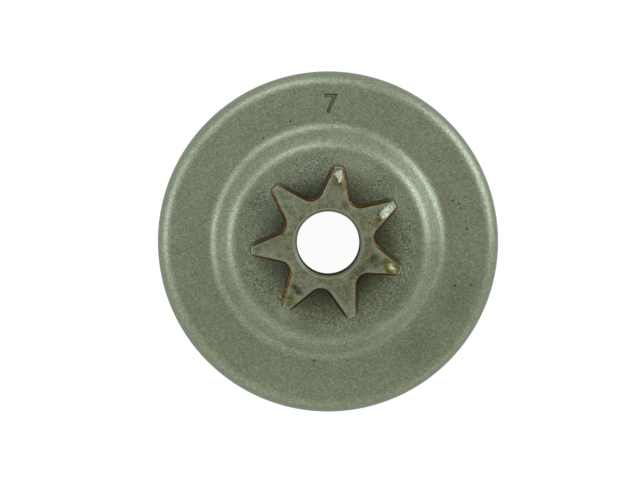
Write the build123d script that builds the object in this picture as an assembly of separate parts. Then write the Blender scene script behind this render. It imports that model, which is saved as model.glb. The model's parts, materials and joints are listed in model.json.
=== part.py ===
from build123d import *
import os
from math import asin, atan2, cos, hypot, pi, radians, sin, tan

# Clutch drum of a chainsaw. A pressed steel cup stands on its open rim, and a star sprocket is brazed on
# the cup's raised centre. Millimetres. The origin is the centre of the rim's plane, +Z runs up the axis
# towards the star, and the stamped figure lies towards +Y.

# Sprocket
tooth_count = 7
first_tooth_angle = 82.25  # degrees from +X, as brazed
bore_diameter = 13.0  # runs on a needle cage
bore_chamfer = 0.5
hub_wall = 2.6  # bore to the bottom of a gullet
tooth_height = 6.5  # bottom of a gullet to the tooth's tip
tip_width = 1.5
tip_rounding = 0.3
gullet_radius = 2.6
star_height = 9.0  # above the raised centre
star_edge_break = 0.12
seat_ledge = 0.5  # how far the star's root overhangs the spigot
spigot_reach = 1.0  # past the underside of the raised centre
spigot_chamfer = 0.4

# Cup
outer_diameter = 71.5
wall = 2.75
face_height = 18.7  # rim to the flat ring around the raised centre
floor_thickness = 3.0
shoulder_radius = 3.0
corner_radius = 0.75
rim_chamfer = 0.4

# Raised centre of the cup
plateau_margin = 3.4  # tooth tips to the edge of the flat
step_height = 3.5
step_angle = 45.0  # slope against the flat, in degrees
bend_radius = 0.5  # under the plateau's edge
foot_radius = 3.0  # outside, at the foot of the slope

# Braze run around the star's foot
braze_leg = 0.7

# Stamped figure, the number of teeth
figure_height = 3.9
figure_width = 2.6
figure_stroke = 0.75
figure_depth = 0.3
figure_draft = 25.0  # lean of the stamped walls, in degrees
figure_angle = 89.0  # degrees from +X

# Sizes that follow
bore_r = bore_diameter / 2
root_r = bore_r + hub_wall
tip_r = root_r + tooth_height
spigot_r = root_r - seat_ledge
outer_r = outer_diameter / 2
track_r = outer_r - wall
plateau_level = face_height + step_height
star_top = plateau_level + star_height
spigot_end = plateau_level - floor_thickness - spigot_reach
half_bend = tan(radians(step_angle) / 2)
edge_radius = bend_radius + floor_thickness
plateau_corner_r = tip_r + plateau_margin + edge_radius * half_bend
foot_corner_r = plateau_corner_r + step_height / tan(radians(step_angle))
foot_end_r = foot_corner_r + foot_radius * half_bend
shoulder_start_r = outer_r - shoulder_radius


def cup_section() -> Face:
    """Half section of the pressed cup, radius along X and height along Z."""
    floor_level = face_height - floor_thickness
    under_level = plateau_level - floor_thickness
    lag = floor_thickness * half_bend
    corners = [
        ((track_r + rim_chamfer, 0), 0),
        ((outer_r - rim_chamfer, 0), 0),
        ((outer_r, rim_chamfer), 0),
        ((outer_r, face_height), shoulder_radius),
        ((foot_corner_r, face_height), foot_radius),
        ((plateau_corner_r, plateau_level), edge_radius),
        ((spigot_r, plateau_level), 0),
        ((spigot_r, under_level), 0),
        ((plateau_corner_r - lag, under_level), bend_radius),
        ((foot_corner_r - lag, floor_level), foot_radius + floor_thickness),
        ((track_r, floor_level), corner_radius),
        ((track_r, rim_chamfer), 0),
    ]
    points = [point for point, _ in corners]
    radii = [radius for _, radius in corners]
    return Plane.XZ * make_face(FilletPolyline(*points, radius=radii, close=True))


def figure_cutter() -> Part:
    """Stamp of the figure seven, centred on the flat ring and read from outside with its top outwards."""
    half_stroke = figure_stroke / 2
    bar_level = figure_height / 2 - half_stroke
    stroke_line = Polyline(
        (-figure_width / 2, bar_level),
        (figure_width / 2 - half_stroke, bar_level),
        (-figure_width / 5, -figure_height / 2),
    )
    stamp = extrude(trace(stroke_line, figure_stroke), -figure_depth, taper=figure_draft)
    figure_r = (foot_end_r + shoulder_start_r) / 2
    return Rot(0, 0, figure_angle - 90) * Pos(0, figure_r, face_height) * stamp


def drum_cup() -> Part:
    """Pressed and turned cup with the hole that takes the sprocket's spigot."""
    return revolve(cup_section(), Axis.Z) - figure_cutter()


def star_outline() -> Face:
    """Outline of the star: straight flanks, round gullets and narrow flat tips."""
    half_pitch = pi / tooth_count
    tip_turn = asin(tip_width / 2 / tip_r)
    # Seen from a gullet's middle line, a flank runs from the tip's corner and touches the gullet's circle
    tip_along = tip_r * cos(half_pitch - tip_turn)
    tip_across = tip_r * sin(half_pitch - tip_turn)
    centre_to_tip = hypot(tip_along - root_r - gullet_radius, tip_across)
    flank_turn = atan2(tip_across, tip_along - root_r - gullet_radius) - asin(gullet_radius / centre_to_tip)
    flank_meet_r = tip_along - tip_across / tan(flank_turn)
    points = []
    radii = []
    for tooth in range(tooth_count):
        tooth_turn = radians(first_tooth_angle) + tooth * 2 * half_pitch
        for radius, turn, rounding in (
            (tip_r, -tip_turn, tip_rounding),
            (tip_r, tip_turn, tip_rounding),
            (flank_meet_r, half_pitch, gullet_radius),
        ):
            points.append((radius * cos(tooth_turn + turn), radius * sin(tooth_turn + turn)))
            radii.append(rounding)
    return make_face(FilletPolyline(*points, radius=radii, close=True))


def star_prism() -> Part:
    """Plain star, from the raised centre to its end face."""
    return Pos(0, 0, plateau_level) * extrude(star_outline(), star_height)


def upright_cylinder(radius: float, bottom: float, top: float) -> Part:
    """Cylinder on the drum's axis between two levels."""
    return Pos(0, 0, bottom) * Cylinder(
        radius, top - bottom, align=(Align.CENTER, Align.CENTER, Align.MIN)
    )


def sprocket() -> Part:
    """Star with its broken upper edge, its spigot and the bore with a chamfer at each end."""
    star = star_prism()
    star = chamfer(star.faces().sort_by(Axis.Z)[-1].edges(), star_edge_break)
    spigot = upright_cylinder(spigot_r, spigot_end, plateau_level)
    spigot = chamfer(spigot.edges().sort_by(Axis.Z)[0], spigot_chamfer)
    drilled = star + spigot - upright_cylinder(bore_r, spigot_end, star_top)
    bore_edges = drilled.edges().filter_by(
        lambda edge: edge.geom_type == GeomType.CIRCLE and abs(edge.radius - bore_r) < 0.01
    )
    return chamfer(bore_edges, bore_chamfer)


def braze_fillet() -> Part:
    """Hollow run of copper braze in the corner between the star's foot and the raised centre."""
    bed = upright_cylinder(tip_r + plateau_margin, plateau_level - floor_thickness, plateau_level)
    bare = bed + star_prism()
    foot = bare.faces().filter_by(Plane.XY).sort_by(Axis.Z)[1].inner_wires()[0]
    return fillet(foot.edges(), braze_leg) - bare


nodes = {
    "drum_cup": drum_cup(),
    "sprocket": sprocket(),
    "braze_fillet": braze_fillet(),
}
os.makedirs("parts", exist_ok=True)
for name, shape in nodes.items():
    export_step(shape, f"parts/{name}.step")
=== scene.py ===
import json
import logging
import math
from dataclasses import dataclass, field, replace
from enum import Enum

import bpy
from mathutils import Matrix, Vector


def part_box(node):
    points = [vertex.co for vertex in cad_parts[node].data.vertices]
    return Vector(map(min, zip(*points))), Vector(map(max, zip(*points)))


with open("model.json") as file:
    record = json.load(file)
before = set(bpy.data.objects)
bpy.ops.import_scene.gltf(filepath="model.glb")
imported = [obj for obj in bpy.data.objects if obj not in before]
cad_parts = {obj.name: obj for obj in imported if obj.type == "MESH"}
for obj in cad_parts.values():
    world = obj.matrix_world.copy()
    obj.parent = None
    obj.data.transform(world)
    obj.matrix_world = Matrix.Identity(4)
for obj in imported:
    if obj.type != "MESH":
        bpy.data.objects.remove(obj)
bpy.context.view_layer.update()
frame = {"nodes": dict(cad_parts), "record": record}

# Clutch drum of a chainsaw, seen from above: a pressed cup with a star sprocket brazed on its raised centre.
# The frame gives every shape. This script gives the finishes, the studio and the camera.

MM = 0.001
MIDDLE = 0.5  # of a noise or a tone that runs from nought to one
WAVE_WIDTHS = 4  # width of one wave of a ragged outline, in lengths that it wanders
log = logging.getLogger("clutch_drum")

Socket = bpy.types.NodeSocket
Colour = tuple[float, float, float, float]
Film = tuple[Socket, Socket | Colour]


def linear(code: str) -> Colour:
    """Turn an sRGB hex colour into linear values.

    Args:
        code: six hex digits after a hash sign.

    Returns:
        Linear red, green and blue, and an alpha of one.
    """
    shares = [int(code[place : place + 2], 16) / 255 for place in (1, 3, 5)]
    red, green, blue = [
        share / 12.92 if share <= 0.04045 else ((share + 0.055) / 1.055) ** 2.4 for share in shares
    ]
    return red, green, blue, 1.0


def mount(name: str) -> dict:
    """Find a mount of the frame's record.

    Args:
        name: the mount's name.

    Returns:
        The mount's entry.
    """
    return next(entry for entry in frame["record"]["mounts"] if entry["name"] == name)


def upper_end(name: str) -> float:
    """Work out how high a round mount reaches.

    Args:
        name: the mount's name.

    Returns:
        Height of its upper end in millimetres.
    """
    entry = mount(name)
    return entry["pos_m"][2] / MM + entry["dims"]["length_mm"] / 2


class MarkKind(Enum):
    """Sorts of small marks that making, handling and storage left on the steel, and patches of painted shade.
    """

    SPOT = "spot"
    SCALE = "scale"
    SMUDGE = "smudge"
    RUBBED = "rubbed"
    STAIN = "stain"
    RUST = "rust"
    WAX = "wax"
    THIN_WAX = "thin wax"


@dataclass(frozen=True)
class Mark:
    """One oval mark seen from above, with half its length, half its width and how strong it is."""

    kind: MarkKind
    x_mm: float
    y_mm: float
    long_mm: float
    wide_mm: float
    turn_deg: float = 0.0
    share: float = 1.0


@dataclass(frozen=True)
class Outline:
    """How the outline of a sort of mark looks: how far it wanders, and over which share it fades out."""

    ragged_mm: float
    soft: float


@dataclass(frozen=True)
class Clouds:
    """Soft clouds: the width of one, the noise at which it starts and is full, and how many layers it has."""

    width_mm: float
    start: float
    full: float
    layers: float = 2.0


@dataclass(frozen=True)
class Zone:
    """Ring-shaped zone of the drum between two heights and two radii, in millimetres."""

    low: float | None = None
    high: float | None = None
    inner: float | None = None
    outer: float | None = None
    soft_height: float = 0.02
    soft_radius: float = 0.02
    share: float = 1.0


class Shading:
    """Node tree of one finish, of the floor or of the room."""

    def __init__(self, owner: bpy.types.Material | bpy.types.World) -> None:
        """Start with an empty tree.

        Args:
            owner: the material or world that the nodes belong to.
        """
        owner.use_nodes = True
        self.owner = owner
        self.tree = owner.node_tree
        self.tree.nodes.clear()

    def add(
        self, kind: str, inputs: dict[str | int, object], output: str | int = 0, **settings: object
    ) -> Socket | None:
        """Add a node with its settings, and fill or link its inputs.

        Args:
            kind: Blender's name of the node type.
            inputs: input names or numbers, each with a value or the socket that feeds it.
            output: name or number of the wanted output.
            settings: properties of the node itself.

        Returns:
            The wanted output, or nothing from a node that has none.
        """
        node = self.tree.nodes.new(kind)
        for name, value in settings.items():
            setattr(node, name, value)
        for place, value in inputs.items():
            if isinstance(value, Socket):
                self.tree.links.new(value, node.inputs[place])
            else:
                node.inputs[place].default_value = value
        return node.outputs[output] if node.outputs else None


class SteelShading(Shading):
    """Node tree of a finish that knows the place of each point in the drum, in millimetres."""

    def __init__(self, name: str) -> None:
        """Start the material and read the place of each point.

        Args:
            name: the finished material's name.
        """
        super().__init__(bpy.data.materials.new(name))
        metres = self.add("ShaderNodeTexCoord", {}, "Object")
        self.place = self.add("ShaderNodeVectorMath", {0: metres, 1: (1 / MM,) * 3}, operation="MULTIPLY")
        self.across = self.add("ShaderNodeVectorMath", {0: self.place, 1: (1, 1, 0)}, operation="MULTIPLY")
        self.height = self.add("ShaderNodeSeparateXYZ", {0: self.place}, "Z")
        self.radius = self.add("ShaderNodeVectorMath", {0: self.across}, "Value", operation="LENGTH")

    def zone(self, zone: Zone) -> Socket:
        """Mask of a ring-shaped zone.

        Args:
            zone: its limits, how soft they are and how strong the mask is.

        Returns:
            The zone's share inside it, and nought outside.
        """
        mask: Socket | float = zone.share
        for value, limit, soft, below in (
            (self.height, zone.low, zone.soft_height, 0.0),
            (self.height, zone.high, zone.soft_height, 1.0),
            (self.radius, zone.inner, zone.soft_radius, 0.0),
            (self.radius, zone.outer, zone.soft_radius, 1.0),
        ):
            if limit is None:
                continue
            edge = {0: value, 1: limit - soft / 2, 2: limit + soft / 2, 3: below, 4: 1 - below}
            step = self.add("ShaderNodeMapRange", edge, interpolation_type="SMOOTHSTEP")
            mask = self.add("ShaderNodeMath", {0: step, 1: mask}, operation="MULTIPLY")
        return mask

    def clouds(self, clouds: Clouds) -> Socket:
        """Mask of soft clouds.

        Args:
            clouds: their width, their contrast and their layers.

        Returns:
            Nought between the clouds and one in the middle of each.
        """
        pattern = {"Vector": self.place, "Scale": 1 / clouds.width_mm, "Detail": clouds.layers}
        noise = self.add("ShaderNodeTexNoise", pattern)
        return self.add("ShaderNodeMapRange", {0: noise, 1: clouds.start, 2: clouds.full})

    def dents(self, width_mm: float) -> tuple[Socket, Socket, Socket]:
        """Close-packed small dents, each with a tone of its own because its slopes face another way.

        Args:
            width_mm: width of one dent.

        Returns:
            How dark a dent is, how pale it is and the height inside it, all from nought to one.
        """
        shades = self.add("ShaderNodeTexVoronoi", {"Vector": self.place, "Scale": 1 / width_mm}, "Color")
        tone = self.add("ShaderNodeSeparateColor", {0: shades}, "Red")
        dark = self.add("ShaderNodeMapRange", {0: tone, 1: MIDDLE, 2: 0.0})
        pale = self.add("ShaderNodeMapRange", {0: tone, 1: MIDDLE, 2: 1.0})
        return dark, pale, shades.node.outputs["Distance"]

    def marks(
        self, marks: tuple[Mark, ...], kind: MarkKind, outline: Outline, within: Zone = Zone()
    ) -> Socket:
        """Mask of all marks of one sort.

        Args:
            marks: the marks of this piece.
            kind: the sort that is wanted.
            outline: how the outline of this sort looks.
            within: the zone that the marks stay in, so that they don't show on the other side.

        Returns:
            The mark's share inside it, and nought away from all of them.
        """
        width = WAVE_WIDTHS * outline.ragged_mm
        noise = self.add("ShaderNodeTexNoise", {"Vector": self.place, "Scale": 1 / width}, "Color")
        either_way = self.add("ShaderNodeVectorMath", {0: noise, 1: (MIDDLE,) * 3}, operation="SUBTRACT")
        wander = self.add("ShaderNodeVectorMath", {0: either_way, 1: (width, width, 0)}, operation="MULTIPLY")
        ragged = self.add("ShaderNodeVectorMath", {0: self.across, 1: wander}, operation="ADD")
        mask: Socket | float = 0.0
        for mark in marks:
            if mark.kind is not kind:
                continue
            oval = {
                "Vector": ragged,
                "Location": (mark.x_mm, mark.y_mm, 0),
                "Rotation": (0, 0, math.radians(mark.turn_deg)),
                "Scale": (mark.long_mm, mark.wide_mm, 1),
            }
            inside = self.add("ShaderNodeMapping", oval, vector_type="TEXTURE")
            away = self.add("ShaderNodeVectorMath", {0: inside}, "Value", operation="LENGTH")
            fade = {0: away, 1: 1.0, 2: 1 - outline.soft, 4: mark.share}
            near = self.add("ShaderNodeMapRange", fade, interpolation_type="SMOOTHSTEP")
            mask = self.add("ShaderNodeMath", {0: near, 1: mask}, operation="MAXIMUM")
        return self.add("ShaderNodeMath", {0: mask, 1: self.zone(within)}, operation="MULTIPLY")

    def cover(self, ground: Socket | Colour, films: list[Film]) -> Socket:
        """Lay films over a ground colour, one after another.

        Args:
            ground: the colour underneath.
            films: masks, each with the colour that it lets through.

        Returns:
            The colour on top.
        """
        for mask, film in films:
            ground = self.add("ShaderNodeMix", {0: mask, 6: ground, 7: film}, 2, data_type="RGBA")
        return ground

    def close(self, surface: dict[str, object]) -> bpy.types.Material:
        """Close the tree with one surface shader.

        Args:
            surface: inputs of the surface shader.

        Returns:
            The finished material.
        """
        shader = self.add("ShaderNodeBsdfPrincipled", surface)
        self.add("ShaderNodeOutputMaterial", {"Surface": shader})
        return self.owner


class StarShading(SteelShading):
    """Node tree of a finish that also knows how far each point is from the star's outline."""

    def edge_distance(self, star: "StarSprocket") -> Socket:
        """Measure how far each point of the end face is from the edge.

        The star is folded on to half a gullet. There the edge is a round gullet with a straight flank that
        runs on from it, and a flat tip.

        Args:
            star: the piece with the sizes of its outline.

        Returns:
            The distance in millimetres, growing into the face.
        """
        half_pitch = math.pi / star.teeth
        gullet_turn = math.radians(star.first_tooth_deg) + half_pitch
        tip_turn = math.asin(star.tip_width / 2 / star.tip_radius)
        gullet_centre = star.root_radius + star.gullet_radius
        tip_along = star.tip_radius * math.cos(half_pitch - tip_turn) - gullet_centre
        tip_across = star.tip_radius * math.sin(half_pitch - tip_turn)
        lean = math.asin(star.gullet_radius / math.hypot(tip_along, tip_across))
        flank = math.atan2(tip_across, tip_along) - lean

        x = self.add("ShaderNodeSeparateXYZ", {0: self.across}, "X")
        turn = self.add("ShaderNodeMath", {0: x.node.outputs["Y"], 1: x}, operation="ARCTAN2")
        turn = self.add("ShaderNodeMath", {0: turn, 1: gullet_turn}, operation="SUBTRACT")
        turn = self.add("ShaderNodeMath", {0: turn, 1: half_pitch, 2: -half_pitch}, operation="WRAP")
        turn = self.add("ShaderNodeMath", {0: turn}, operation="ABSOLUTE")
        cosine = self.add("ShaderNodeMath", {0: turn}, operation="COSINE")
        sine = self.add("ShaderNodeMath", {0: turn}, operation="SINE")
        way = self.add("ShaderNodeCombineXYZ", {0: cosine, 1: sine})
        spot = self.add("ShaderNodeVectorMath", {0: way, 3: self.radius}, operation="SCALE")
        arm = self.add("ShaderNodeVectorMath", {0: spot, 1: (gullet_centre, 0, 0)}, operation="SUBTRACT")
        along_flank = (math.cos(flank), math.sin(flank), 0)
        into_tooth = (-math.sin(flank), math.cos(flank), 0)
        past = self.add("ShaderNodeVectorMath", {0: arm, 1: along_flank}, "Value", operation="DOT_PRODUCT")
        straight = self.add("ShaderNodeMath", {0: past, 1: 0.0}, operation="GREATER_THAN")
        by_gullet = self.add("ShaderNodeVectorMath", {0: arm}, "Value", operation="LENGTH")
        by_flank = self.add("ShaderNodeVectorMath", {0: arm, 1: into_tooth}, "Value", operation="DOT_PRODUCT")
        side = self.add("ShaderNodeMix", {0: straight, 2: by_gullet, 3: by_flank})
        side = self.add("ShaderNodeMath", {0: side, 1: star.gullet_radius}, operation="SUBTRACT")
        tip = self.add("ShaderNodeMath", {0: star.tip_radius, 1: self.radius}, operation="SUBTRACT")
        return self.add("ShaderNodeMath", {0: side, 1: tip}, operation="MINIMUM")


@dataclass(frozen=True)
class BlastedSteel:
    """Pressed steel, shot-blasted and oiled.

    Blasting packs the skin with tiny dents, so the eye gets a dull olive grey with a fine peppery grain and
    broad soft highlights on the bends. Around the star the grain is painted harsher, with painted glints and
    painted shade in its dents, and the raised centre is painted darker towards the star's foot as painted
    shade. Broad patches are painted darker and paler, partly oil and handling and partly painted shade and
    painted light. The stamped figure, the outer part of the shoulder and the wall are painted darker as
    painted shade. The friction track and the rim are turned, brighter and finely ringed.
    """

    name: str = "Shot-blasted pressed steel"
    body: str = "#828A65"
    patch: str = "#7C815C"
    dark_dent: str = "#727A56"
    pale_dent: str = "#929A74"
    # Painted shade and painted glints in the dents around the star
    painted_dent_shade: str = "#434D32"
    painted_dent_glint: str = "#B8C398"
    # Painted shade on the outer part of the shoulder and on the wall
    rubbed: str = "#697059"
    # Painted shade on the raised centre around the star's foot
    scale: str = "#272A1B"
    # Darker patches, partly oil and partly painted shade; also painted shade in the stamped figure
    oil_and_painted_shade: str = "#3E4236"
    spot: str = "#504C32"
    # Paler patches, partly handling and partly painted light
    handled: str = "#A8B08A"
    turned: str = "#8E9187"
    dent_mm: float = 0.26  # drawn a little coarser than fine shot leaves it, so that it shows
    sharp_dent_mm: float = 0.18
    dent_depth_mm: float = 0.011
    patches: Clouds = Clouds(4.0, 0.4, 0.65)
    harsh_patches: Clouds = Clouds(4.0, 0.15, 0.55)
    ring_mm: float = 0.25  # a real tool leaves finer rings, drawn coarser so that they show
    spot_outline: Outline = Outline(0.1, 0.8)
    broad_outline: Outline = Outline(0.5, 0.95)
    metallic: float = 0.7
    roughness: float = 0.44
    turned_roughness: float = 0.32

    def material(self, cup: "DrumCup") -> bpy.types.Material:
        """Build the finish of the cup.

        Args:
            cup: the piece with its zones and marks.

        Returns:
            The finished material.
        """
        tree = SteelShading(self.name)
        dark, pale, rise = tree.dents(self.dent_mm)
        turned = tree.add(
            "ShaderNodeMath", {0: tree.zone(cup.track), 1: tree.zone(cup.rim)}, operation="MAXIMUM"
        )
        # Harsher grain around the star: painted shade and painted glints in its dents
        uneven = tree.clouds(self.harsh_patches)
        harsh = tree.add("ShaderNodeMath", {0: tree.zone(cup.raised_centre), 1: uneven}, operation="MULTIPLY")
        sharp_dark, sharp_pale, _ = tree.dents(self.sharp_dent_mm)
        dent_shade_mask = tree.add("ShaderNodeMath", {0: sharp_dark, 1: harsh}, operation="MULTIPLY")
        bright = tree.add("ShaderNodeMath", {0: sharp_pale, 1: harsh}, operation="MULTIPLY")
        # Broad darker and paler patches: partly oil and handling, partly painted shade and painted light
        oil_and_shade_patches = tree.marks(cup.marks, MarkKind.SMUDGE, self.broad_outline, cup.upper_side)
        handled = tree.marks(cup.marks, MarkKind.RUBBED, self.broad_outline, cup.upper_side)
        films = [
            (tree.clouds(self.patches), linear(self.patch)),
            (dark, linear(self.dark_dent)),
            (pale, linear(self.pale_dent)),
            # Painted shade and painted glints in the dents around the star
            (dent_shade_mask, linear(self.painted_dent_shade)),
            (bright, linear(self.painted_dent_glint)),
            (oil_and_shade_patches, linear(self.oil_and_painted_shade)),
            (handled, linear(self.handled)),
            # Painted shade on the outer part of the shoulder and on the wall
            (tree.zone(cup.brake_track), linear(self.rubbed)),
            # Painted shade around the star's foot
            (tree.zone(cup.shade_by_star), linear(self.scale)),
            # Painted shade in the stamped figure
            (tree.zone(cup.figure), linear(self.oil_and_painted_shade)),
            (tree.zone(cup.figure_edge), linear(self.oil_and_painted_shade)),
            (tree.marks(cup.marks, MarkKind.SPOT, self.spot_outline, cup.upper_side), linear(self.spot)),
            (turned, linear(self.turned)),
        ]
        colour = tree.cover(linear(self.body), films)
        rough = tree.add("ShaderNodeMix", {0: turned, 2: self.roughness, 3: self.turned_roughness})
        section = tree.add("ShaderNodeCombineXYZ", {0: tree.radius, 2: tree.height})
        rings = tree.add("ShaderNodeTexNoise", {"Vector": section, "Scale": 1 / self.ring_mm})
        relief = tree.add("ShaderNodeMix", {0: turned, 2: rise, 3: rings})
        normal = tree.add("ShaderNodeBump", {"Height": relief, "Distance": self.dent_depth_mm * MM})
        return tree.close(
            {"Base Color": colour, "Roughness": rough, "Metallic": self.metallic, "Normal": normal}
        )


@dataclass(frozen=True)
class GroundSteel:
    """Hardened steel with a ground end face, copper-stained flanks and a dark bore.

    The face is smoother and darker than the cup, with cloudy stains, and handling has rubbed it paler along
    its edges. The furnace let copper creep up the flanks, which are brown, with patches of painted shade on
    them.
    The broken edges are pale, partly from wear and partly as a painted highlight, the bore's edge carries a
    painted highlight, and the pale dabs on the tips carry a painted highlight too. The bore is dark.
    """

    name: str = "Ground hardened steel"
    body: str = "#848961"
    dark_cloud: str = "#5A5F3E"
    pale_cloud: str = "#9A9C75"
    rubbed: str = "#A2AA87"
    # Pale edges: partly wear and partly painted highlight; on the bore's edge a painted highlight
    edge: str = "#A9B18B"
    lead_in: str = "#7C835E"
    flank: str = "#886226"
    dark_flank: str = "#463716"
    # Patches of painted shade on the flanks
    scale: str = "#50421A"
    # The bore is painted dark
    bore: str = "#3A4032"
    smudge: str = "#363A30"
    stain: str = "#6C6006"
    rust: str = "#9A5A2A"
    # Dabs of wax on the tips, whose pale colour also paints their glint, a painted highlight
    wax: str = "#BCC89D"
    dull_wax: str = "#939E76"
    grit_mm: float = 0.22
    grit_depth_mm: float = 0.01
    grit_share: float = 0.6
    dark_clouds: Clouds = Clouds(1.6, 0.52, 0.3, 4.0)
    pale_clouds: Clouds = Clouds(1.6, 0.5, 0.72, 4.0)
    rubbed_mm: float = 1.1
    rubbed_clouds: Clouds = Clouds(1.6, 0.25, 0.6)
    flank_film: Clouds = Clouds(0.8, 0.35, 0.65, 3.0)
    stain_clouds: Clouds = Clouds(0.8, 0.1, 0.5, 3.0)
    smudge_specks: Clouds = Clouds(0.5, 0.05, 0.55, 4.0)
    wax_mm: float = 0.06
    wax_crumbs: Clouds = Clouds(0.5, 0.3, 0.42)
    wax_bits: Clouds = Clouds(0.6, 0.4, 0.75, 4.0)
    wax_dull: Clouds = Clouds(0.5, 0.6, 0.42)
    smudge_outline: Outline = Outline(0.25, 0.95)
    stain_outline: Outline = Outline(0.25, 0.6)
    rust_outline: Outline = Outline(0.12, 0.4)
    wax_outline: Outline = Outline(0.2, 0.45)
    shade_outline: Outline = Outline(0.3, 0.6)
    metallic: float = 0.85
    roughness: float = 0.42
    bore_roughness: float = 0.8

    def material(self, star: "StarSprocket") -> bpy.types.Material:
        """Build the finish of the sprocket.

        Args:
            star: the piece with its outline, zones and marks.

        Returns:
            The finished material.
        """
        tree = StarShading(self.name)
        dark, pale, rise = tree.dents(self.grit_mm)
        wear = tree.add("ShaderNodeMapRange", {0: tree.edge_distance(star), 1: self.rubbed_mm, 2: 0.0})
        patchy = tree.clouds(self.rubbed_clouds)
        wear = tree.add("ShaderNodeMath", {0: wear, 1: patchy}, operation="MULTIPLY")
        crumbs = tree.clouds(self.wax_crumbs)
        wax = tree.marks(star.marks, MarkKind.WAX, self.wax_outline, star.end_face)
        wax = tree.add("ShaderNodeMath", {0: wax, 1: crumbs}, operation="MULTIPLY")
        bits = tree.clouds(self.wax_bits)
        thin_wax = tree.marks(star.marks, MarkKind.THIN_WAX, self.wax_outline, star.end_face)
        wax = tree.add("ShaderNodeMath", {0: thin_wax, 1: bits, 2: wax}, operation="MULTIPLY_ADD")
        crust = tree.cover(linear(self.wax), [(tree.clouds(self.wax_dull), linear(self.dull_wax))])
        stain = tree.marks(star.marks, MarkKind.STAIN, self.stain_outline, star.end_face)
        blotches = tree.clouds(self.stain_clouds)
        stain = tree.add("ShaderNodeMath", {0: stain, 1: blotches}, operation="MULTIPLY")
        smudge = tree.marks(star.marks, MarkKind.SMUDGE, self.smudge_outline, star.end_face)
        specks = tree.clouds(self.smudge_specks)
        smudge = tree.add("ShaderNodeMath", {0: smudge, 1: specks}, operation="MULTIPLY")
        handled = tree.marks(star.marks, MarkKind.RUBBED, self.smudge_outline, star.end_face)
        # Patches of painted shade on the flanks
        flank_shade = tree.marks(star.marks, MarkKind.SCALE, self.shade_outline)
        film = tree.clouds(self.flank_film)
        brown = tree.cover(
            linear(self.flank), [(flank_shade, linear(self.scale)), (film, linear(self.dark_flank))]
        )
        grit_dark = tree.add("ShaderNodeMath", {0: dark, 1: self.grit_share}, operation="MULTIPLY")
        grit_pale = tree.add("ShaderNodeMath", {0: pale, 1: self.grit_share}, operation="MULTIPLY")
        in_bore = tree.zone(star.bore)
        films = [
            (tree.clouds(self.dark_clouds), linear(self.dark_cloud)),
            (tree.clouds(self.pale_clouds), linear(self.pale_cloud)),
            (wear, linear(self.rubbed)),
            (handled, linear(self.rubbed)),
            (grit_dark, linear(self.dark_cloud)),
            (grit_pale, linear(self.pale_cloud)),
            (smudge, linear(self.smudge)),
            (stain, linear(self.stain)),
            (tree.marks(star.marks, MarkKind.RUST, self.rust_outline, star.end_face), linear(self.rust)),
            # Dabs of wax, whose pale colour is also a painted highlight
            (wax, crust),
            # Pale broken edge, partly wear and partly painted highlight
            (tree.zone(star.broken_edge_wear_and_glint), linear(self.edge)),
            # Painted highlight on the bore's edge
            (tree.zone(star.bore_edge_glint), linear(self.edge)),
            (tree.zone(star.lead_in), linear(self.lead_in)),
            (tree.zone(star.flanks), brown),
            (in_bore, linear(self.bore)),
        ]
        colour = tree.cover(linear(self.body), films)
        bare = tree.add("ShaderNodeMath", {0: 1.0, 1: wax}, operation="SUBTRACT")
        metal = tree.add("ShaderNodeMath", {0: bare, 1: self.metallic}, operation="MULTIPLY")
        rough = tree.add("ShaderNodeMix", {0: in_bore, 2: self.roughness, 3: self.bore_roughness})
        grit = tree.add("ShaderNodeMath", {0: rise, 1: self.grit_depth_mm}, operation="MULTIPLY")
        relief = tree.add("ShaderNodeMath", {0: wax, 1: self.wax_mm, 2: grit}, operation="MULTIPLY_ADD")
        normal = tree.add("ShaderNodeBump", {"Height": relief, "Distance": MM})
        return tree.close(
            {
                "Base Color": colour,
                "Roughness": rough,
                "Metallic": metal,
                "Specular Tint": linear(self.body),
                "Normal": normal,
            }
        )


@dataclass(frozen=True)
class FurnaceCopper:
    """Copper braze as it froze in the furnace: a dull golden brown with patches of painted shade, painted
    shade along its foot, thin at the tips.
    """

    name: str = "Furnace copper braze"
    body: str = "#8A6428"
    dark: str = "#4A3A18"
    # Patches of painted shade on the braze
    scale: str = "#4A3D17"
    # Painted shade along the braze's foot on the cup
    feather: str = "#34372A"
    bare: str = "#545943"
    glint: str = "#C0A87C"
    patches: Clouds = Clouds(0.8, 0.4, 0.65, 3.0)
    ripple_mm: float = 0.3
    ripple_depth_mm: float = 0.03
    shade_outline: Outline = Outline(0.3, 0.6)
    metallic: float = 0.4
    roughness: float = 0.65

    def material(self, run: "BrazeRun") -> bpy.types.Material:
        """Build the finish of the braze run.

        Args:
            run: the piece with its zones and marks.

        Returns:
            The finished material.
        """
        tree = SteelShading(self.name)
        films = [
            # Patches of painted shade on the braze
            (tree.marks(run.marks, MarkKind.SCALE, self.shade_outline), linear(self.scale)),
            (tree.clouds(self.patches), linear(self.dark)),
            # Painted shade along the braze's foot on the cup
            (tree.zone(run.feather), linear(self.feather)),
            (tree.zone(run.thin), linear(self.bare)),
        ]
        colour = tree.cover(linear(self.body), films)
        ripple = tree.add("ShaderNodeTexNoise", {"Vector": tree.place, "Scale": 1 / self.ripple_mm})
        normal = tree.add("ShaderNodeBump", {"Height": ripple, "Distance": self.ripple_depth_mm * MM})
        return tree.close(
            {
                "Base Color": colour,
                "Roughness": self.roughness,
                "Metallic": self.metallic,
                "Specular Tint": linear(self.glint),
                "Normal": normal,
            }
        )


class BrazedPiece:
    """One piece of the drum, a node of the frame that keeps its shape and gets a finish."""

    node: str

    def wear(self, material: bpy.types.Material) -> None:
        """Put a finish on the whole node.

        Args:
            material: the finish.
        """
        mesh = frame["nodes"][self.node].data
        mesh.materials.clear()
        mesh.materials.append(material)
        log.info("%s has the finish %s", self.node, material.name)


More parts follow.
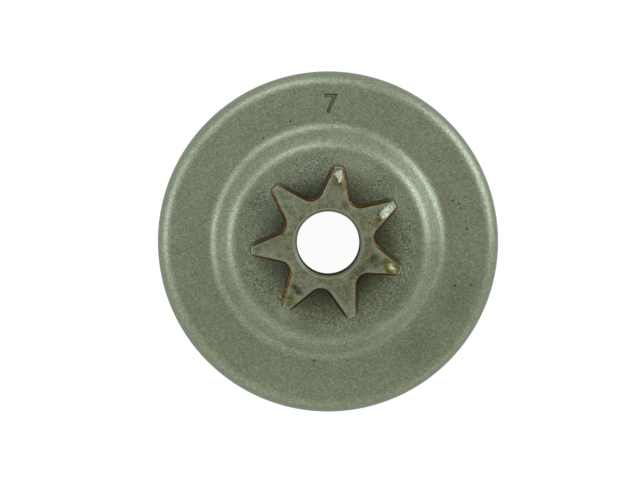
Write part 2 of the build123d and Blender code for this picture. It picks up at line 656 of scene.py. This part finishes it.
# Patches of painted shade on the flanks and on the braze
PAINTED_FLANK_SHADE = (
    Mark(MarkKind.SCALE, -4.3, 12.0, 8.5, 5.0, 20),
    Mark(MarkKind.SCALE, -12.4, 0.7, 5.5, 1.8, 23),
    Mark(MarkKind.SCALE, 9.6, 8.0, 5.5, 1.8, 10),
    Mark(MarkKind.SCALE, 1.0, -12.0, 9.0, 5.0, 0),
    Mark(MarkKind.SCALE, 12.8, -3.1, 3.6, 1.5, -38, 0.9),
)


@dataclass
class DrumCup(BrazedPiece):
    """The pressed cup, with sizes in millimetres."""

    node: str = "drum_cup"
    finish: BlastedSteel = BlastedSteel()
    shoulder: float = 3.0
    half_sheet: float = 1.5  # tells the outside of the sheet from the inside
    foot_end: float = 25.3
    seat: float = 8.6
    wall_margin: float = 0.1  # how far a zone reaches past its wall
    rim_skin: float = 0.02
    plateau_skin: float = 0.5
    figure_depth: float = 0.3
    figure_wall: float = 0.27  # drafted side of the figure, painted darker as painted shade
    figure_lip: float = 0.06
    # Painted shade and painted glints in the dents around the star
    harsh_share: float = 0.75
    harsh_edge: float = 18.4
    harsh_fade: float = 2.8
    # Painted shade around the star's foot: how far it reaches and how strong it is
    shade_reach: float = 7.6
    shade_share: float = 0.7
    # Painted shade in the stamped figure and on its walls
    figure_shade_share: float = 0.45
    figure_wall_shade_share: float = 0.8
    # Painted shade on the outer part of the shoulder and on the wall
    rim_shade_reach: float = 1.6
    rim_shade_share: float = 0.8
    track: Zone = field(init=False)
    rim: Zone = field(init=False)
    brake_track: Zone = field(init=False)
    upper_side: Zone = field(init=False)
    raised_centre: Zone = field(init=False)
    shade_by_star: Zone = field(init=False)
    figure: Zone = field(init=False)
    figure_edge: Zone = field(init=False)
    marks: tuple[Mark, ...] = (
        # Dark spots
        Mark(MarkKind.SPOT, 26.0, 8.62, 0.45, 0.36),
        Mark(MarkKind.SPOT, 27.3, 7.98, 0.45, 0.36),
        Mark(MarkKind.SPOT, 27.65, 7.1, 0.36, 0.3),
        Mark(MarkKind.SPOT, 28.95, 2.78, 0.52, 0.42),
        Mark(MarkKind.SPOT, 28.3, 1.5, 0.36, 0.3),
        Mark(MarkKind.SPOT, 23.14, 16.93, 0.3, 0.3),
        Mark(MarkKind.SPOT, 26.9, 13.0, 0.3, 0.25),
        Mark(MarkKind.SPOT, 26.41, -9.1, 0.55, 0.45),
        Mark(MarkKind.SPOT, 23.75, -11.57, 0.4, 0.3),
        Mark(MarkKind.SPOT, 29.84, -8.93, 0.36, 0.32),
        Mark(MarkKind.SPOT, -7.8, 25.2, 0.6, 0.3, 60),
        Mark(MarkKind.SPOT, -13.45, 21.75, 0.45, 0.32, 45),
        Mark(MarkKind.SPOT, 0.8, 24.1, 0.3, 0.25),
        Mark(MarkKind.SPOT, 4.1, -24.7, 0.42, 0.32),
        Mark(MarkKind.SPOT, -2.9, -24.7, 0.8, 0.4),
        # Broad darker and paler patches: partly oil and handling, partly painted shade and painted light
        Mark(MarkKind.SMUDGE, 18.6, -22.2, 10.0, 5.5, 40, 0.22),
        Mark(MarkKind.SMUDGE, 26.3, -12.3, 10.0, 5.5, 65, 0.22),
        Mark(MarkKind.SMUDGE, -14.7, 8.5, 5.0, 3.0, 60, 0.2),
        Mark(MarkKind.RUBBED, 5.8, 16.0, 7.0, 3.0, 160, 0.4),
        Mark(MarkKind.RUBBED, 14.7, 8.5, 4.5, 3.0, 120, 0.25),
        Mark(MarkKind.RUBBED, -8.5, -14.7, 5.0, 3.0, 150, 0.4),
    )

    def dress(self) -> None:
        """Place the zones where the frame has its mounts, and cover the cup."""
        outside = mount("brake_track")["dims"]["r_mm"]
        inside = mount("shoe_track")["dims"]["r_mm"]
        face = upper_end("brake_track") + self.shoulder
        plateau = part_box(self.node)[1].z / MM
        self.track = Zone(outer=inside + self.wall_margin, high=upper_end("shoe_track"))
        self.rim = Zone(inner=inside + self.wall_margin, high=self.rim_skin)
        # Painted shade on the outer part of the shoulder and on the wall
        self.brake_track = Zone(
            inner=outside - self.rim_shade_reach / 2, soft_radius=self.rim_shade_reach, share=self.rim_shade_share
        )
        self.upper_side = Zone(low=face - self.half_sheet)
        # Painted shade and painted glints in the dents around the star
        self.raised_centre = Zone(
            low=plateau - self.plateau_skin,
            outer=self.harsh_edge,
            soft_radius=self.harsh_fade,
            share=self.harsh_share,
        )
        # Painted shade on the raised centre around the star's foot
        self.shade_by_star = Zone(
            low=plateau - self.plateau_skin,
            outer=self.seat + self.shade_reach / 2,
            soft_radius=self.shade_reach,
            share=self.shade_share,
        )
        # Painted shade in the stamped figure
        self.figure = Zone(
            low=face - 2 * self.figure_depth,
            high=face - self.figure_lip,
            soft_height=self.figure_lip,
            inner=self.foot_end,
            outer=outside - self.shoulder - self.wall_margin,
            share=self.figure_shade_share,
        )
        self.figure_edge = replace(self.figure, low=face - self.figure_wall, share=self.figure_wall_shade_share)
        self.wear(self.finish.material(self))


@dataclass
class StarSprocket(BrazedPiece):
    """The star with its bore, with sizes in millimetres."""

    node: str = "sprocket"
    finish: GroundSteel = GroundSteel()
    teeth: int = 7
    first_tooth_deg: float = 82.25
    root_radius: float = 9.1
    tip_radius: float = 15.6
    tip_width: float = 1.5
    gullet_radius: float = 2.6
    tip_margin: float = 0.2
    tip_fade: float = 0.3
    edge_break: float = 0.12
    edge_fade: float = 0.03
    face_skin: float = 0.02
    bore_skin: float = 0.03
    bore_margin: float = 1.0
    bore_chamfer: float = 0.5
    bore_edge_width: float = 0.22
    bore_edge_share: float = 0.6
    bore: Zone = field(init=False)
    end_face: Zone = field(init=False)
    lead_in: Zone = field(init=False)
    bore_edge_glint: Zone = field(init=False)
    broken_edge_wear_and_glint: Zone = field(init=False)
    flanks: Zone = field(init=False)
    marks: tuple[Mark, ...] = PAINTED_FLANK_SHADE + (
        # Upper tooth
        Mark(MarkKind.STAIN, 1.75, 12.95, 1.0, 0.4, 120),
        Mark(MarkKind.STAIN, 2.4, 11.9, 0.8, 0.4, 70),
        Mark(MarkKind.WAX, 2.15, 13.95, 1.1, 0.85, 100),
        Mark(MarkKind.WAX, 2.4, 13.0, 0.75, 0.55, 70),
        # Upper right tooth
        Mark(MarkKind.STAIN, 10.3, 5.85, 0.7, 0.5, 60),
        Mark(MarkKind.STAIN, 10.45, 4.85, 1.0, 0.6, 20),
        Mark(MarkKind.STAIN, 8.3, 4.25, 0.5, 0.35, 60),
        Mark(MarkKind.WAX, 11.9, 6.45, 2.15, 1.15, 46),
        # Right tooth
        Mark(MarkKind.STAIN, 11.85, -4.1, 1.45, 0.9, -72),
        Mark(MarkKind.STAIN, 12.45, -5.45, 1.4, 0.95, -50),
        Mark(MarkKind.STAIN, 13.0, -4.7, 2.7, 1.6, -25, 0.75),
        Mark(MarkKind.THIN_WAX, 12.9, -4.85, 1.6, 0.95, -42),
        Mark(MarkKind.WAX, 12.75, -4.7, 0.95, 0.5, -45, 0.6),
        # Lower left tooth
        Mark(MarkKind.STAIN, -7.67, -11.5, 1.9, 0.95, 72, 0.6),
        Mark(MarkKind.SMUDGE, -6.5, -9.3, 2.2, 1.2, -40),
        Mark(MarkKind.SMUDGE, -5.9, -9.9, 1.6, 0.9, -20),
        # Oily patches around the bore
        Mark(MarkKind.SMUDGE, 8.94, -3.03, 1.9, 1.5, 20, 0.85),
        Mark(MarkKind.SMUDGE, 8.2, -1.6, 4.5, 2.2, 75, 0.3),
        Mark(MarkKind.SMUDGE, 6.9, -4.6, 3.0, 1.9, 56, 0.35),
        Mark(MarkKind.SMUDGE, -9.4, -0.6, 2.4, 2.0, 90, 0.2),
        # Paler patches from handling, and one fleck of rust
        Mark(MarkKind.RUBBED, -0.6, 8.4, 3.4, 1.8, 0, 0.4),
        Mark(MarkKind.RUBBED, -6.9, 7.4, 3.6, 2.2, 133, 0.4),
        Mark(MarkKind.RUBBED, -3.6, -7.6, 3.6, 1.9, -25, 0.4),
        Mark(MarkKind.RUBBED, 8.7, 5.1, 2.2, 1.8, 30, 0.4),
        Mark(MarkKind.RUBBED, -12.9, -1.1, 2.4, 1.6, 5, 0.35),
        Mark(MarkKind.RUST, -5.03, 6.81, 0.3, 0.2, 40),
    )

    def dress(self) -> None:
        """Place the zones where the frame has the end face and the bore, and cover the star."""
        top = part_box(self.node)[1].z / MM
        bore_radius = mount("bore")["dims"]["r_mm"]
        face_start = top - self.face_skin
        self.bore = Zone(outer=bore_radius + self.bore_skin)
        self.end_face = Zone(low=top - self.edge_break)
        self.lead_in = Zone(high=face_start, outer=bore_radius + self.bore_margin)
        # Painted highlight on the bore's edge
        self.bore_edge_glint = Zone(
            low=face_start,
            outer=bore_radius + self.bore_chamfer + self.bore_edge_width,
            soft_radius=self.bore_edge_width / 2,
            share=self.bore_edge_share,
        )
        # Pale broken edge, partly wear and partly painted highlight
        self.broken_edge_wear_and_glint = Zone(low=top - self.edge_break, high=face_start, soft_height=self.edge_fade)
        self.flanks = Zone(
            low=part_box("drum_cup")[1].z / MM,
            high=top - self.edge_fade,
            soft_height=self.edge_fade,
            inner=bore_radius + self.bore_margin,
            outer=self.tip_radius - self.tip_margin,
            soft_radius=self.tip_fade,
        )
        self.wear(self.finish.material(self))


@dataclass
class BrazeRun(BrazedPiece):
    """The braze around the star's foot, with sizes in millimetres."""

    node: str = "braze_fillet"
    finish: FurnaceCopper = FurnaceCopper()
    thin: Zone = Zone(inner=15.5, soft_radius=0.6)
    # Painted shade along the braze's foot on the cup
    feather_height: float = 0.035
    feather: Zone = field(init=False)
    marks: tuple[Mark, ...] = PAINTED_FLANK_SHADE

    def dress(self) -> None:
        """Place the zone of painted shade along the braze's foot on the cup, and cover the braze run."""
        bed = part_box(self.node)[0].z / MM
        # Painted shade along the braze's foot on the cup
        self.feather = Zone(high=bed + self.feather_height, soft_height=self.feather_height)
        self.wear(self.finish.material(self))


@dataclass(frozen=True)
class SoftLamp:
    """One soft lamp of the studio, turned to the drum."""

    name: str
    azimuth_deg: float
    off_axis_deg: float
    watts: float
    size_m: float = 0.3
    distance_m: float = 0.6
    tint: str = "#CCD2FF"

    def build(self, aim: Vector) -> None:
        """Hang the lamp and turn it to the drum.

        Args:
            aim: the point that it lights.
        """
        around = math.radians(self.azimuth_deg)
        lean = math.radians(self.off_axis_deg)
        way = Vector((math.sin(lean) * math.cos(around), math.sin(lean) * math.sin(around), math.cos(lean)))
        lamp = bpy.data.lights.new(self.name, "AREA")
        lamp.shape = "DISK"
        lamp.size = self.size_m
        lamp.energy = self.watts
        lamp.color = linear(self.tint)[:3]
        holder = bpy.data.objects.new(self.name, lamp)
        holder.location = aim + way * self.distance_m
        holder.rotation_euler = way.to_track_quat("Z", "Y").to_euler()
        bpy.context.scene.collection.objects.link(holder)


@dataclass
class Studio:
    """Pale floor, soft lamps and the camera above the drum."""

    floor_side_m: float = 6.0
    floor_gap_mm: float = 0.05
    paper: str = "#E6E6E6"
    paper_shown: str = "#5A5A5A"
    paper_glow: float = 0.96
    paper_light: str = "#FFFFFF"
    horizon: str = "#CFD5FF"
    zenith: str = "#FFF3B4"
    horizon_level: float = 1.34
    zenith_level: float = 0.14
    lamp_aim_mm: tuple[float, float, float] = (0.0, 0.0, 20.0)
    lamps: tuple[SoftLamp, ...] = (
        SoftLamp("lamp_right", 26.0, 60.0, 3.4, 0.45),
        SoftLamp("lamp_left", 172.0, 52.0, 1.78, tint="#C4CAFF"),
        SoftLamp("lamp_back", 110.0, 45.0, 1.72, 0.35),
        SoftLamp("lamp_front", 246.0, 46.0, 1.48, 0.8, tint="#C8D1FF"),
        SoftLamp("lamp_low", 314.0, 82.0, 0.5, 0.5, tint="#BECBFF"),
    )
    eye_mm: tuple[float, float, float] = (-1.94, 10.67, 431.2)
    aim_mm: tuple[float, float, float] = (-1.69, 0.75, 31.2)
    lens_mm: float = 111.3
    sensor_mm: float = 36.0
    clip_m: float = 0.01

    def build(self) -> None:
        """Set up the floor, the room, the lamps and the camera."""
        self.build_floor()
        self.build_room()
        for lamp in self.lamps:
            lamp.build(Vector(self.lamp_aim_mm) * MM)
        self.build_camera()

    def build_floor(self) -> None:
        """Lay the floor just under the rim, matt paper that looks white but for the drum's shadow."""
        bpy.ops.object.select_all(action="DESELECT")
        bpy.ops.mesh.primitive_plane_add(size=self.floor_side_m, location=(0, 0, -self.floor_gap_mm * MM))
        floor = bpy.context.active_object
        floor.name = "floor"
        shading = Shading(bpy.data.materials.new("Matt white paper"))
        camera = shading.add("ShaderNodeLightPath", {}, "Is Camera Ray")
        rays = camera.node.outputs
        seen = shading.add("ShaderNodeMath", {0: camera, 1: rays["Is Glossy Ray"]}, operation="MAXIMUM")
        seen = shading.add("ShaderNodeMath", {0: seen, 1: rays["Is Transmission Ray"]}, operation="MAXIMUM")
        paper = shading.add("ShaderNodeBsdfDiffuse", {"Color": linear(self.paper)})
        shaded = shading.add("ShaderNodeBsdfDiffuse", {"Color": linear(self.paper_shown)})
        bright = {"Color": linear(self.paper_light), "Strength": self.paper_glow}
        glow = shading.add("ShaderNodeEmission", bright)
        shown = shading.add("ShaderNodeAddShader", {0: shaded, 1: glow})
        surface = shading.add("ShaderNodeMixShader", {0: seen, 1: paper, 2: shown})
        shading.add("ShaderNodeOutputMaterial", {"Surface": surface})
        floor.data.materials.append(shading.owner)

    def build_room(self) -> None:
        """Fill the room with soft light, cool from the sides, and warmer and dimmer from straight above."""
        world = bpy.data.worlds.new("soft_room")
        bpy.context.scene.world = world
        shading = Shading(world)
        way = shading.add("ShaderNodeTexCoord", {}, "Generated")
        rise = shading.add("ShaderNodeSeparateXYZ", {0: way}, "Z")
        level = shading.add(
            "ShaderNodeMapRange", {0: rise, 1: 0.0, 2: 1.0, 3: self.horizon_level, 4: self.zenith_level}
        )
        ends = {0: rise, 6: linear(self.horizon), 7: linear(self.zenith)}
        tint = shading.add("ShaderNodeMix", ends, 2, data_type="RGBA")
        sky = shading.add("ShaderNodeBackground", {"Color": tint, "Strength": level})
        shading.add("ShaderNodeOutputWorld", {"Surface": sky})

    def build_camera(self) -> None:
        """Place the camera above the drum, leaning as in the photograph."""
        lens = bpy.data.cameras.new("camera")
        lens.sensor_width = self.sensor_mm
        lens.lens = self.lens_mm
        lens.clip_start = self.clip_m
        holder = bpy.data.objects.new("camera", lens)
        eye = Vector(self.eye_mm) * MM
        aim = Vector(self.aim_mm) * MM
        back = (eye - aim).normalized()
        right = Vector((0, 1, 0)).cross(back).normalized()
        holder.location = eye
        holder.rotation_euler = Matrix((right, back.cross(right), back)).transposed().to_euler()
        bpy.context.scene.collection.objects.link(holder)
        bpy.context.scene.camera = holder


def main() -> None:
    """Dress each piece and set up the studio."""
    logging.basicConfig(level=logging.INFO)
    for piece in (DrumCup(), StarSprocket(), BrazeRun()):
        piece.dress()
    Studio().build()
    bpy.context.scene.view_settings.view_transform = "Standard"


if __name__ == "__main__":
    main()
